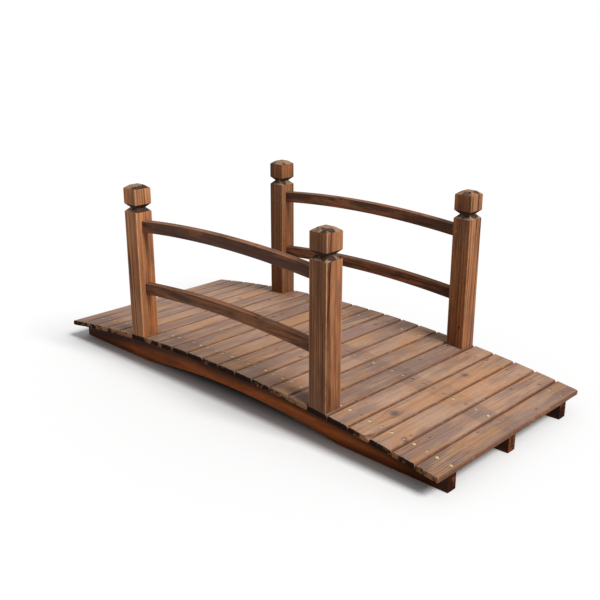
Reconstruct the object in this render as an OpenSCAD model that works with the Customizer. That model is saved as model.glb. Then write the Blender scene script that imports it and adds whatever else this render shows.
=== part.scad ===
// Garden moon bridge: a plank deck on three arched beams, with a short curved
// railing of two posts and two rails on each side.
// X runs along the bridge, Y across it, Z up. The origin is on the ground at
// the middle of the bridge.

/* [Deck boards] */
// Number of boards from one end of the bridge to the other
plank_count = 22; // [14:1:30]
// Length of a board, which is the width of the bridge
plank_len = 670; // [450:1:1000]
// Width of a board
plank_w = 68; // [55:0.5:110]
// Thickness of a board
plank_t = 15.5; // [11:0.5:30]
// Open joint between two boards, at their undersides
plank_gap = 1.5; // [1:0.5:10]
// Radius of the two long top edges of a board
plank_round = 6.5; // [1:0.5:7]
// Radius of the two long bottom edges of a board
plank_under_round = 3.5; // [0.5:0.5:3.5]

/* [Beams] */
// Radius of the arched top edge that the boards lie on
arc_r = 5000; // [2400:10:9000]
// Thickness of a beam
beam_t = 32; // [18:1:60]
// Depth of a beam at its end
beam_end_h = 50; // [30:1:90]
// From the end of the boards to the middle of a side beam
beam_inset = 68; // [40:1:120]
// From the outer edge of the last board back to the end of a beam
beam_setback = 6; // [0:1:20]
// Length of the flat foot at each end of a beam
foot_len = 340; // [60:5:400]
// Height of the arch cut out of a beam between its two feet
arch_rise = 32; // [5:1:60]

/* [Posts] */
// Width of a square post
post_w = 58; // [36:1:65]
// The board that carries a post, counted from the end of the bridge
post_plank = 6; // [3:1:8]
// Height of a post's shoulder above its board
post_h = 395; // [260:1:600]
// Height of the groove between the shoulder and the head
groove_h = 24; // [8:1:40]
// Depth of that groove
groove_depth = 12.6; // [3:0.1:14]
// Height of the upright faces of the head
head_h = 46.5; // [20:0.5:80]
// Height of the sloping faces on top of the head
cap_h = 10; // [3:0.5:30]
// Width of the sloping faces, measured on the level
cap_inset = 14; // [3:0.5:15]
// Width of the small flat along each upright edge
post_arris = 2; // [0.5:0.1:4]

/* [Rails] */
// Depth of a rail
rail_h = 37; // [25:1:60]
// Thickness of a rail
rail_t = 19.5; // [14:0.5:34]
// Radius of the four long edges of a rail
rail_round = 4; // [1:0.5:6]
// Radius of the top edge of a rail
rail_r = 3600; // [2400:10:9000]
// From a post's shoulder down to the upper rail, beside the post
upper_rail_drop = 24; // [4:1:60]
// From a post's shoulder down to the lower rail, beside the post
lower_rail_drop = 220; // [90:1:330]

/* [Hidden] */
plank_pitch = plank_w + plank_gap;
deck_arc = plank_count * plank_pitch - plank_gap;
function arc_deg(length) = length / arc_r * 180 / PI;
function plank_deg(i) = (i - (plank_count + 1) / 2) * arc_deg(plank_pitch);
function on_arc(r, deg) = [r * sin(deg), 0, arc_z + r * cos(deg)];

beam_half = arc_r * sin(arc_deg(deck_arc / 2)) - beam_setback;
arc_z = beam_end_h - sqrt(arc_r * arc_r - beam_half * beam_half);
beam_y = plank_len / 2 - beam_inset;
arch_half = beam_half - foot_len;
arch_r = (arch_half * arch_half + arch_rise * arch_rise) / (2 * arch_rise);

post_deg = -plank_deg(post_plank);
post_seat = on_arc(arc_r + plank_t, post_deg);
post_y = plank_len / 2 - post_w / 2;
shoulder_z = post_seat[2] + post_h;
rail_half = post_seat[0] - post_w / 2;

// More than any cut needs to reach past the piece that it cuts
past = 10;

plank_colour = [0.62, 0.50, 0.41];
beam_colour = [0.37, 0.18, 0.08];
post_colour = [0.50, 0.33, 0.21];
rail_colour = [0.36, 0.23, 0.15];

function plank_name(i) = str("deck_plank_", i < 10 ? "0" : "", i);

// Section of a board, lying on its underside: the two top edges are rounded
// more than the two bottom edges
module plank_section() {
    side = plank_w / 2;
    flat_top = side - plank_round;
    flat_under = side - plank_under_round;
    translate([-side, plank_under_round])
        square([plank_w, plank_t - plank_round - plank_under_round]);
    translate([-flat_top, plank_under_round])
        square([2 * flat_top, plank_t - plank_under_round]);
    translate([-flat_under, 0])
        square([2 * flat_under, plank_t - plank_round]);
    for (way = [-1, 1]) {
        translate([way * flat_top, plank_t - plank_round]) circle(r = plank_round, $fn = 48);
        translate([way * flat_under, plank_under_round])
            circle(r = plank_under_round, $fn = 32);
    }
}

// One board, laid on the arch so that its underside touches it along its middle
module deck_plank(i) {
    color(plank_colour)
        translate(on_arc(arc_r, plank_deg(i)))
            rotate([90, plank_deg(i), 0])
                linear_extrude(height = plank_len, center = true) plank_section();
}

// Side view of a beam: arched on top, cut out below between two flat feet
module beam_outline() {
    difference() {
        intersection() {
            translate([-beam_half, 0]) square([2 * beam_half, arc_z + arc_r + past]);
            translate([0, arc_z]) circle(r = arc_r, $fn = 1440);
        }
        translate([0, arch_rise - arch_r]) circle(r = arch_r, $fn = 1440);
    }
}

module beam(y) {
    color(beam_colour)
        translate([0, y, 0])
            rotate([90, 0, 0])
                linear_extrude(height = beam_t, center = true) beam_outline();
}

// Half outline of a post above its shoulder, from the shoulder to the middle of the top
function head_points() = [
    [post_w / 2, 0],
    [post_w / 2 - groove_depth, groove_h / 2],
    [post_w / 2, groove_h],
    [post_w / 2, groove_h + head_h],
    [post_w / 2 - cap_inset, groove_h + head_h + cap_h]
];

function mirrored(points) = [for (i = [len(points) - 1:-1:0]) [-points[i][0], points[i][1]]];

// Outline of a post, with its foot at one depth below the shoulder on the right
// and at another on the left
module post_outline(foot_right, foot_left) {
    polygon(concat([[post_w / 2, -foot_right]], head_points(),
        mirrored(head_points()), [[-post_w / 2, -foot_left]]));
}

// A post at the end of the bridge that way_x points to, on the side that way_y
// points to, with its foot cut to the slope of its board
module post(way_x, way_y) {
    slope = way_x * post_w / 2 * tan(post_deg);
    deepest = post_h + post_w / 2 * tan(post_deg);
    across_corners = sqrt(2) * post_w - post_arris;
    color(post_colour)
        translate([way_x * post_seat[0], way_y * post_y, shoulder_z])
            intersection() {
                rotate([90, 0, 0])
                    linear_extrude(height = post_w, center = true)
                        post_outline(post_h + slope, post_h - slope);
                rotate([90, 0, 90])
                    linear_extrude(height = post_w, center = true)
                        post_outline(deepest, deepest);
                translate([0, 0, -deepest])
                    rotate([0, 0, 45])
                        linear_extrude(height = deepest + groove_h + head_h + cap_h)
                            square(across_corners, center = true);
            }
}

// Section of a rail, with its top edge at radius rail_r from the axis
module rail_section() {
    inner = rail_r - rail_h;
    translate([inner + rail_round, -rail_t / 2]) square([rail_h - 2 * rail_round, rail_t]);
    translate([inner, -rail_t / 2 + rail_round]) square([rail_h, rail_t - 2 * rail_round]);
    for (r = [inner + rail_round, rail_r - rail_round])
        for (way = [-1, 1])
            translate([r, way * (rail_t / 2 - rail_round)]) circle(r = rail_round, $fn = 32);
}

// A curved rail between the two posts of one side, cut plumb against them
module rail(way_y, drop) {
    top_z = shoulder_z - drop;
    axis_z = top_z - sqrt(rail_r * rail_r - rail_half * rail_half);
    sweep = 2 * asin((rail_half + past) / (rail_r - rail_h));
    color(rail_colour)
        translate([0, way_y * post_y, 0])
            intersection() {
                translate([0, 0, axis_z])
                    rotate([90, 0, 0])
                        rotate([0, 0, 90 - sweep / 2])
                            rotate_extrude(angle = sweep, $fn = 1440) rail_section();
                translate([-rail_half, -rail_t, top_z - rail_h - past])
                    cube([2 * rail_half, 2 * rail_t, rail_h + 3 * past]);
            }
}

for (i = [1:plank_count])
    deck_plank(i);

beam(beam_y);  // side_beam_left
beam(0);  // centre_beam
beam(-beam_y);  // side_beam_right

post(-1, 1);  // left_post_1
post(1, 1);  // left_post_2
post(-1, -1);  // right_post_1
post(1, -1);  // right_post_2

rail(1, upper_rail_drop);  // left_upper_rail
rail(1, lower_rail_drop);  // left_lower_rail
rail(-1, upper_rail_drop);  // right_upper_rail
rail(-1, lower_rail_drop);  // right_lower_rail
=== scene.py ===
"""Garden moon bridge: heat-treated softwood boards on three arched beams, with four capped
posts and four curved rails, held by brass cross-head screws."""

import logging
import math
import random
from collections.abc import Callable
from dataclasses import dataclass
from enum import Enum
from functools import partial, reduce

import bpy
from mathutils import Matrix, Vector


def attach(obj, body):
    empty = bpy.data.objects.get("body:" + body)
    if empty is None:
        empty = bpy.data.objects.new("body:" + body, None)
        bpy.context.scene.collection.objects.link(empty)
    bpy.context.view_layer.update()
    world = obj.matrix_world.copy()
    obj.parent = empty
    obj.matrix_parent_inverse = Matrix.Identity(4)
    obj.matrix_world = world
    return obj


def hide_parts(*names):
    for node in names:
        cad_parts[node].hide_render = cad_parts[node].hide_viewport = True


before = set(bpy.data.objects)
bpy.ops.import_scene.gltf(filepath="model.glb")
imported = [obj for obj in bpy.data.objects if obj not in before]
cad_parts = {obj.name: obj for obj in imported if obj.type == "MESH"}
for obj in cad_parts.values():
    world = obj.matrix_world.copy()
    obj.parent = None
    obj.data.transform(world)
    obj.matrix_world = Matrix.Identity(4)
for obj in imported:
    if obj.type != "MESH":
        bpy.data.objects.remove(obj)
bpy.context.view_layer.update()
log = logging.getLogger("bridge")

BODY = "root"
NEAR = 1e-4  # Metres within which two measures are the same
Point = tuple[float, float, float]
Colour = str  # As it shows on a screen: two hex digits each of red, green and blue
Thing = bpy.types.Object
Face = bpy.types.MeshPolygon
Material = bpy.types.Material
Socket = bpy.types.NodeSocket
Rule = Callable[[Vector], float]
Step = Callable[[], object]


class Side(Enum):
    """The two long sides of the bridge, with the way across it that each one lies."""

    LEFT = 1
    RIGHT = -1


class End(Enum):
    """The two ends of the bridge, with the way along it that each one lies."""

    FIRST = -1
    SECOND = 1


class Plating(Enum):
    """How yellow a screw's plating still is, as the value of its shade attribute."""

    YELLOW = 0.0
    PALE = 0.35
    COPPERY = 0.7
    AGED = 1.0


@dataclass(frozen=True)
class BridgeSizes:
    """The driving sizes of the bridge in metres, and the places that follow from them."""

    plank_count: int = 22
    plank_len: float = 0.670
    plank_w: float = 0.068
    plank_t: float = 0.0155
    plank_gap: float = 0.0015
    plank_round: float = 0.0065
    plank_under_round: float = 0.0035
    arc_r: float = 5.000
    beam_t: float = 0.032
    beam_end_h: float = 0.050
    beam_inset: float = 0.068
    beam_setback: float = 0.006
    foot_len: float = 0.340
    arch_rise: float = 0.032
    post_w: float = 0.058
    post_plank: int = 6
    post_h: float = 0.395
    groove_h: float = 0.024
    groove_depth: float = 0.0126
    head_h: float = 0.0465
    cap_h: float = 0.010
    cap_inset: float = 0.014
    rail_h: float = 0.037
    rail_t: float = 0.0195
    rail_round: float = 0.004
    rail_r: float = 3.600
    upper_rail_drop: float = 0.024
    lower_rail_drop: float = 0.220

    @property
    def pitch(self) -> float:
        """Angle between two boards on the arch, in radians."""
        return (self.plank_w + self.plank_gap) / self.arc_r

    @property
    def beam_half(self) -> float:
        """Half the length of a beam."""
        deck_arc = self.plank_count * (self.plank_w + self.plank_gap) - self.plank_gap
        return self.arc_r * math.sin(deck_arc / 2 / self.arc_r) - self.beam_setback

    @property
    def arc_z(self) -> float:
        """Height of the centre of the deck's arch."""
        return self.beam_end_h - math.sqrt(self.arc_r**2 - self.beam_half**2)

    @property
    def arch_r(self) -> float:
        """Radius of the arch cut out of a beam's underside."""
        half = self.beam_half - self.foot_len
        return (half**2 + self.arch_rise**2) / (2 * self.arch_rise)

    @property
    def beam_y(self) -> float:
        """Distance of a side beam from the middle of the bridge."""
        return self.plank_len / 2 - self.beam_inset

    def plank_angle(self, number: int) -> float:
        """Angle of a board, numbered from 1, from the crown of the arch."""
        return (number - (self.plank_count + 1) / 2) * self.pitch

    def on_arc(self, radius: float, angle: float) -> Vector:
        """A point on a circle about the centre of the deck's arch."""
        return Vector((radius * math.sin(angle), 0, self.arc_z + radius * math.cos(angle)))

    @property
    def post_angle(self) -> float:
        """Angle of the board that carries the posts of the second end."""
        return -self.plank_angle(self.post_plank)

    @property
    def post_seat(self) -> Vector:
        """Middle of that board's top, across which the posts stand."""
        return self.on_arc(self.arc_r + self.plank_t, self.post_angle)

    @property
    def post_y(self) -> float:
        """Distance of a post's axis from the middle of the bridge."""
        return (self.plank_len - self.post_w) / 2

    @property
    def shoulder_z(self) -> float:
        """Height of a post's shoulder, below its groove."""
        return self.post_seat.z + self.post_h

    @property
    def rail_half(self) -> float:
        """Half the length of a rail."""
        return self.post_seat.x - self.post_w / 2

    @property
    def rail_axis_z(self) -> float:
        """Height of a rail's centre, from its top where it meets a post."""
        return -math.sqrt(self.rail_r**2 - self.rail_half**2)


SIZES = BridgeSizes()


class Bench:
    """Modelling steps as they are done by hand, each on one mesh object."""

    @staticmethod
    def only(*things: Thing) -> None:
        """Selects these objects and nothing else, and makes the first one active."""
        bpy.ops.object.select_all(action="DESELECT")
        for thing in things:
            thing.select_set(True)
        bpy.context.view_layer.objects.active = things[0]

    @staticmethod
    def start(name: str, add: Callable[..., object], **settings: object) -> Thing:
        """Adds a primitive to start from, and applies its place and size.

        Args:
            name: The object's name.
            add: The operator that adds it.
            settings: The operator's settings.

        Returns:
            The new object.
        """
        bpy.ops.object.select_all(action="DESELECT")
        add(**settings)
        thing = bpy.context.active_object
        thing.name = thing.data.name = name
        bpy.ops.object.transform_apply()
        return thing

    @classmethod
    def block(cls, name: str, size: Point, centre: Point) -> Thing:
        """A rectangular block of this size about its middle."""
        return cls.start(name, bpy.ops.mesh.primitive_cube_add, size=1, location=centre,
                         scale=size)

    @classmethod
    def drum(cls, name: str, radius: float, depth: float, centre: Point, sides: int,
             foot: float | None = None, turned: Point = (0, 0, 0)) -> Thing:
        """A round bar, or a blunt cone where the radius of its foot differs."""
        return cls.start(name, bpy.ops.mesh.primitive_cone_add, vertices=sides,
                         radius1=foot or radius, radius2=radius, depth=depth,
                         location=centre, rotation=turned)

    @classmethod
    def work(cls, thing: Thing, mode: str, test: Callable[..., bool] | None,
             *steps: Step) -> None:
        """Takes steps of edit mode on the edges or faces that a test picks out.

        Args:
            thing: The mesh object.
            mode: VERT, EDGE or FACE.
            test: Says of an edge's two ends or of a face whether it is meant. None takes all.
            steps: Operators of edit mode, with their settings.
        """
        mesh = thing.data
        for group in (mesh.vertices, mesh.edges, mesh.polygons):
            group.foreach_set("select", [False] * len(group))
        if test and mode == "EDGE":
            for edge in mesh.edges:
                edge.select = test(*(mesh.vertices[i].co for i in edge.vertices))
        elif test:
            for face in mesh.polygons:
                face.select = test(face)
        kinds = ("VERT", "EDGE", "FACE")
        bpy.context.tool_settings.mesh_select_mode = [mode == kind for kind in kinds]
        cls.only(thing)
        bpy.ops.object.mode_set(mode="EDIT")
        if not test:
            bpy.ops.mesh.select_all(action="SELECT")
        for step in steps:
            step()
        bpy.ops.object.mode_set(mode="OBJECT")

    @staticmethod
    def bevel(offset: float, segments: int, affect: str = "EDGES") -> Step:
        """The step that bevels what is selected, over this width on each side."""
        return partial(bpy.ops.mesh.bevel, offset=offset, segments=segments, affect=affect)

    @classmethod
    def bisect(cls, thing: Thing, at: Point, facing: Point, **clear: bool) -> None:
        """Cuts through a mesh by a plane, and closes it again where one side is cleared."""
        cls.work(thing, "FACE", None, partial(bpy.ops.mesh.bisect, plane_co=at,
                                              plane_no=facing, use_fill=bool(clear), **clear))

    @classmethod
    def slice(cls, thing: Thing, a: Point, b: Point, c: Point) -> None:
        """Cuts off a corner. Seen from it, the plane's points run counter-clockwise."""
        normal = (Vector(b) - Vector(a)).cross(Vector(c) - Vector(a)).normalized()
        cls.bisect(thing, a, normal, clear_outer=True)

    @classmethod
    def apply(cls, thing: Thing, kind: str, **settings: object) -> None:
        """Adds a modifier and applies it.

        Args:
            thing: The mesh object.
            kind: The modifier's type.
            settings: The modifier's settings.
        """
        cls.only(thing)
        modifier = thing.modifiers.new(kind.lower(), kind)
        for key, value in settings.items():
            setattr(modifier, key, value)
        bpy.ops.object.modifier_apply(modifier=modifier.name)

    @classmethod
    def carve(cls, thing: Thing, cutter: Thing, how: str = "DIFFERENCE") -> None:
        """Cuts a mesh with a cutter, which is then scrapped."""
        cls.apply(thing, "BOOLEAN", operation=how, object=cutter, solver="EXACT")
        cls.scrap(cutter)

    @classmethod
    def soften(cls, thing: Thing, width: float, degrees: float) -> None:
        """Rounds every edge that is sharper than this angle."""
        cls.apply(thing, "BEVEL", width=width, segments=2, limit_method="ANGLE",
                  angle_limit=math.radians(degrees))

    @staticmethod
    def scrap(thing: Thing) -> None:
        """Removes an object that isn't needed any more."""
        bpy.data.objects.remove(thing, do_unlink=True)

    @classmethod
    def join(cls, name: str, things: list[Thing]) -> Thing:
        """Joins mesh objects into the first of them, under a new name."""
        cls.only(*things)
        bpy.ops.object.join()
        things[0].name = things[0].data.name = name
        return things[0]

    @classmethod
    def place(cls, thing: Thing, matrix: Matrix) -> None:
        """Moves a mesh to its place, and leaves its object at the origin."""
        cls.only(thing)
        thing.matrix_world = matrix
        bpy.ops.object.transform_apply()

    @staticmethod
    def twin(thing: Thing, name: str) -> Thing:
        """Copies a piece and its mesh.

        Args:
            thing: The piece.
            name: The copy's name.

        Returns:
            The copy.
        """
        copy = thing.copy()
        copy.data = thing.data.copy()
        bpy.context.scene.collection.objects.link(copy)
        copy.name = copy.data.name = name
        return copy

    @classmethod
    def wear(cls, thing: Thing, depth: float, hollow: float, seed: float) -> None:
        """Gives planed and sanded faces their slight hollows, none of them outwards.

        Args:
            thing: The mesh object.
            depth: The depth of the deepest hollow.
            hollow: How long a hollow is.
            seed: Another number gives another pattern.
        """
        clouds = bpy.data.textures.new(thing.name + "_hollows", "CLOUDS")
        clouds.noise_scale = hollow
        origin = bpy.data.objects.new(thing.name + "_pattern", None)
        bpy.context.scene.collection.objects.link(origin)
        origin.location = (seed * 3.1, seed * 1.7, seed * 2.3)
        bpy.context.view_layer.update()
        cls.apply(thing, "DISPLACE", texture=clouds, texture_coords="OBJECT",
                  texture_coords_object=origin, strength=depth, mid_level=1.0)
        cls.scrap(origin)
        bpy.data.textures.remove(clouds)

    @classmethod
    def smooth(cls, thing: Thing, degrees: float = 35) -> None:
        """Shades curved faces smooth and keeps sharper edges than this angle."""
        cls.only(thing)
        bpy.ops.object.shade_smooth_by_angle(angle=math.radians(degrees))


def note(thing: Thing, name: str, rule: Callable[[Vector], float | Point]) -> None:
    """Stores a number or a vector at each corner of a mesh, for its material to read.

    Args:
        thing: The mesh object, still where it was sawn, before it is placed.
        name: The attribute's name.
        rule: Gives the value at a point.
    """
    values = [rule(corner.co) for corner in thing.data.vertices]
    kind, key = ("FLOAT_VECTOR", "vector") if isinstance(values[0], tuple) else (
        "FLOAT", "value")
    store = thing.data.attributes.new(name, kind, "POINT")
    for item, value in zip(store.data, values):
        setattr(item, key, value)


def ramp_between(low: float, high: float, value: float) -> float:
    """0 below low, 1 above high, and a straight rise between them."""
    return min(1.0, max(0.0, (value - low) / (high - low)))


NO_KNOT = (99.0, 0.0, 0.001)
KNOT_SLOTS = 3


@dataclass(frozen=True)
class Grain:
    """How a piece was sawn out of its log, and what it shows of rings, knots and colour.

    A piece's own coordinates run along its grain, across it and up through it, from its
    middle. The heart is the log's centre line, and a knot is given as its place along and
    across the piece, and its half width. The band is where a slat lay across the board in
    the kiln: its middle along the board, half its width, and how dark it is.
    """

    heart_across: float
    heart_up: float
    lean_across: float = 0.0
    lean_up: float = 0.0
    ring: float = 0.005
    tone: float = 0.5
    cool: float = 0.5
    char: float = 0.6
    char_lean: float = 0.0
    show: float = 1.0
    shift: float = 0.0
    knots: tuple[Point, ...] = ()
    band: Point = (0.0, 0.001, 0.0)

    @classmethod
    def pick(cls, rng: random.Random, near: float, far: float, rings: tuple[float, float],
             lean: float = 0.02, **known: object) -> "Grain":
        """A grain at random.

        Args:
            rng: The source of random numbers.
            near: The least distance of the heart from the piece's middle.
            far: The greatest one.
            rings: The least and the greatest width of a ring.
            lean: The most that the heart leans against the piece.
            known: The fields that aren't left to chance.

        Returns:
            The grain.
        """
        away = rng.uniform(near, far)
        turn = rng.uniform(0.08, 0.92) * math.pi
        made = dict(heart_across=away * math.cos(turn), heart_up=-away * math.sin(turn),
                    lean_across=rng.uniform(-lean, lean), lean_up=rng.uniform(-lean, lean),
                    ring=rng.uniform(*rings), tone=rng.random(), cool=rng.random(),
                    char=rng.random(), shift=rng.uniform(0, 40), show=rng.uniform(0.5, 1.0))
        return cls(**{**made, **known})

    def log_point(self, along: float, across: float, up: float) -> Point:
        """The same point seen from the heart, moved to this log's part of the pattern."""
        return (along + self.shift, across - self.heart_across - self.lean_across * along,
                up - self.heart_up - self.lean_up * along)

    def mark(self, thing: Thing, place: Callable[[Vector], Point], edge: Rule | None = None,
             darker: Rule = lambda p: 0.0, char: Rule | None = None,
             plain: Rule = lambda p: 0.0) -> None:
        """Stores the grain in a mesh, for its finish to read.

        Args:
            thing: The mesh object.
            place: Gives a corner's place along, across and up through the piece.
            edge: How much a corner is marked, partly wear and partly painted shade and highlight,
                from 0 to 1, if not yet stored.
            darker: How much of the tone is taken off at a corner.
            char: How burnt the sawn ends are at a corner, if not the same all over.
            plain: How much the rings have faded at a corner.
        """
        note(thing, "log", lambda p: self.log_point(*place(p)))
        if edge:
            note(thing, "edge", edge)
        note(thing, "tone", lambda p: self.tone - darker(p))
        note(thing, "char", char or (lambda p: self.char + self.char_lean * place(p)[1]))
        note(thing, "show", lambda p: self.show * (1 - plain(p)))
        note(thing, "ring", lambda p: self.ring)
        note(thing, "cool", lambda p: self.cool)
        note(thing, "band", lambda p: self.band)
        for slot in range(KNOT_SLOTS):
            knot = NO_KNOT
            if slot < len(self.knots):
                along, across, half = self.knots[slot]
                knot = (*self.log_point(along, across, 0)[:2], half)
            note(thing, f"knot_{slot + 1}", lambda p: knot)


def operator(operation: str, way: int = 1) -> Callable[["Value", "Value | float"], "Value"]:
    """An operator of Value, whose two sides change places where way is -1."""
    return lambda value, other: value.graph.math(operation, *(value, other)[::way])


class Value:
    """A number that changes over a surface, as a socket of a shader, for arithmetic."""

    def __init__(self, graph: "Graph", socket: Socket) -> None:
        """Wraps a socket of a graph."""
        self.graph = graph
        self.socket = socket

    __add__ = __radd__ = operator("ADD")
    __sub__, __rsub__ = operator("SUBTRACT"), operator("SUBTRACT", -1)
    __mul__ = __rmul__ = operator("MULTIPLY")
    __truediv__ = operator("DIVIDE")
    __pow__ = operator("POWER")


def linear(colour: Colour) -> Point:
    """The red, green and blue of a colour in the linear values of a shader."""
    shares = (part / 255 for part in bytes.fromhex(colour))
    return tuple(share / 12.92 if share <= 0.04045 else ((share + 0.055) / 1.055) ** 2.4
                 for share in shares)


class Graph:
    """A node tree, with short ways to add to it."""

    def __init__(self, tree: bpy.types.NodeTree) -> None:
        """Empties a node tree to build in."""
        self.tree = tree
        tree.nodes.clear()

    def node(self, kind: str, inputs: dict[str | int, object] | None = None,
             **settings: object) -> bpy.types.Node:
        """Adds one node.

        Args:
            kind: The node's type.
            inputs: A value, a colour, a Value or a socket for each input named.
            settings: Its properties. A list under "stops" fills a colour ramp.

        Returns:
            The node.
        """
        made = self.tree.nodes.new(kind)
        for key, value in settings.items():
            if key == "stops":
                self.fill(made.color_ramp, value)
            else:
                setattr(made, key, value)
        for key, value in (inputs or {}).items():
            self.plug(made.inputs[key], value)
        return made

    def plug(self, socket: Socket, value: object) -> None:
        """Links or sets an input.

        Args:
            socket: The input.
            value: A Value or a socket to link, or a number or a colour to set.
        """
        if isinstance(value, str):
            value = linear(value)
        if isinstance(value, Value):
            value = value.socket
        if isinstance(value, bpy.types.NodeSocket):
            self.tree.links.new(value, socket)
        elif socket.type == "RGBA" and isinstance(value, tuple):
            socket.default_value = (*value[:3], 1)
        else:
            socket.default_value = value

    @staticmethod
    def fill(ramp: bpy.types.ColorRamp, stops: list[tuple[float, Colour]]) -> None:
        """Gives a colour ramp its stops.

        Args:
            ramp: The ramp, which has two stops already.
            stops: Their places and colours, at least two.
        """
        while len(ramp.elements) < len(stops):
            ramp.elements.new(1.0)
        for element, (place, colour) in zip(ramp.elements, stops):
            element.position = place
            element.color = (*linear(colour), 1)

    def math(self, operation: str, *parts: Value | float) -> Value:
        """A Math node's result."""
        made = self.node("ShaderNodeMath", dict(enumerate(parts)), operation=operation)
        return Value(self, made.outputs[0])

    def smooth(self, value: Value, low: float, high: float) -> Value:
        """0 where a value is below low, 1 above high, and an S-shaped rise between."""
        made = self.node("ShaderNodeMapRange", {"Value": value, "From Min": low,
                                                "From Max": high},
                         interpolation_type="SMOOTHSTEP")
        return Value(self, made.outputs[0])

    def attribute(self, name: str, output: str = "Fac") -> Value:
        """A value stored at the mesh's corners, or with output "Vector" a vector."""
        made = self.node("ShaderNodeAttribute", attribute_name=name)
        return Value(self, made.outputs[output])

    def place(self) -> Value:
        """The place on the bridge, in metres."""
        return Value(self, self.node("ShaderNodeTexCoord").outputs["Object"])

    def apart(self, vector: Value) -> tuple[Value, Value, Value]:
        """The three parts of a vector."""
        made = self.node("ShaderNodeSeparateXYZ", {0: vector})
        return tuple(Value(self, out) for out in made.outputs)

    def vector(self, *parts: Value | float) -> Value:
        """A vector of three parts."""
        made = self.node("ShaderNodeCombineXYZ", dict(enumerate(parts)))
        return Value(self, made.outputs[0])

    def most(self, first: Value | float, *others: Value) -> Value:
        """The greatest of some values."""
        return reduce(partial(self.math, "MAXIMUM"), others, first)

    def length(self, first: Value, second: Value) -> Value:
        """The length of a line that runs this far in two directions."""
        return self.math("SQRT", first * first + second * second)

    def noise(self, vector: Value, factors: Point, detail: float = 2.0,
              rough: float = 0.5) -> Value:
        """Noise from about 0.2 to 0.8.

        Args:
            vector: The coordinates.
            factors: How many hollows there are in a metre, along each of them.
            detail: How many finer layers are added.
            rough: How strong they are.

        Returns:
            The noise.
        """
        scaled = self.node("ShaderNodeVectorMath", {0: vector, 1: factors},
                           operation="MULTIPLY")
        made = self.node("ShaderNodeTexNoise", {
            "Vector": scaled.outputs[0], "Scale": 1.0, "Detail": detail,
            "Roughness": rough}, normalize=True)
        return Value(self, made.outputs[0])

    def rings(self, phase: Value) -> tuple[Value, Value]:
        """How far a place lies through its ring, and the ring's random number, from 0 to 1."""
        year = self.node("ShaderNodeTexWhiteNoise", {"W": self.math("FLOOR", phase)},
                         noise_dimensions="1D")
        return self.math("FRACT", phase), Value(self, year.outputs["Value"])

    def mix(self, share: Value | float, first: object, second: object,
            how: str = "MIX") -> Socket:
        """A colour mixed from two colours or sockets, with this share of the second one."""
        made = self.node("ShaderNodeMix", {0: share, 6: first, 7: second},
                         data_type="RGBA", blend_type=how)
        return made.outputs[2]

    def shade(self, colour: object, value: Value) -> Socket:
        """A colour made lighter or darker by a factor."""
        grey = self.node("ShaderNodeCombineColor", {0: value, 1: value, 2: value})
        return self.mix(1.0, colour, grey.outputs[0], "MULTIPLY")

    def bump(self, height: Value, depth: float) -> Socket:
        """A bumped normal, for a height from 0 to 1 that stands for this depth in metres."""
        made = self.node("ShaderNodeBump", {"Strength": 1.0, "Distance": depth,
                                            "Height": height})
        return made.outputs[0]


class Surface(Graph):
    """The node tree of one material, with a Principled shader at its end."""

    def __init__(self, name: str) -> None:
        """Makes an empty material.

        Args:
            name: The material's name.
        """
        self.material = bpy.data.materials.new(name)
        self.material.use_nodes = True
        super().__init__(self.material.node_tree)
        self.shader = self.node("ShaderNodeBsdfPrincipled")
        self.node("ShaderNodeOutputMaterial", {"Surface": self.shader.outputs[0]})

    def finish(self, **inputs: object) -> Material:
        """Sets the shader's inputs, named with underscores, and returns the material."""
        for key, value in inputs.items():
            self.plug(self.shader.inputs[key.replace("_", " ")], value)
        return self.material


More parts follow.
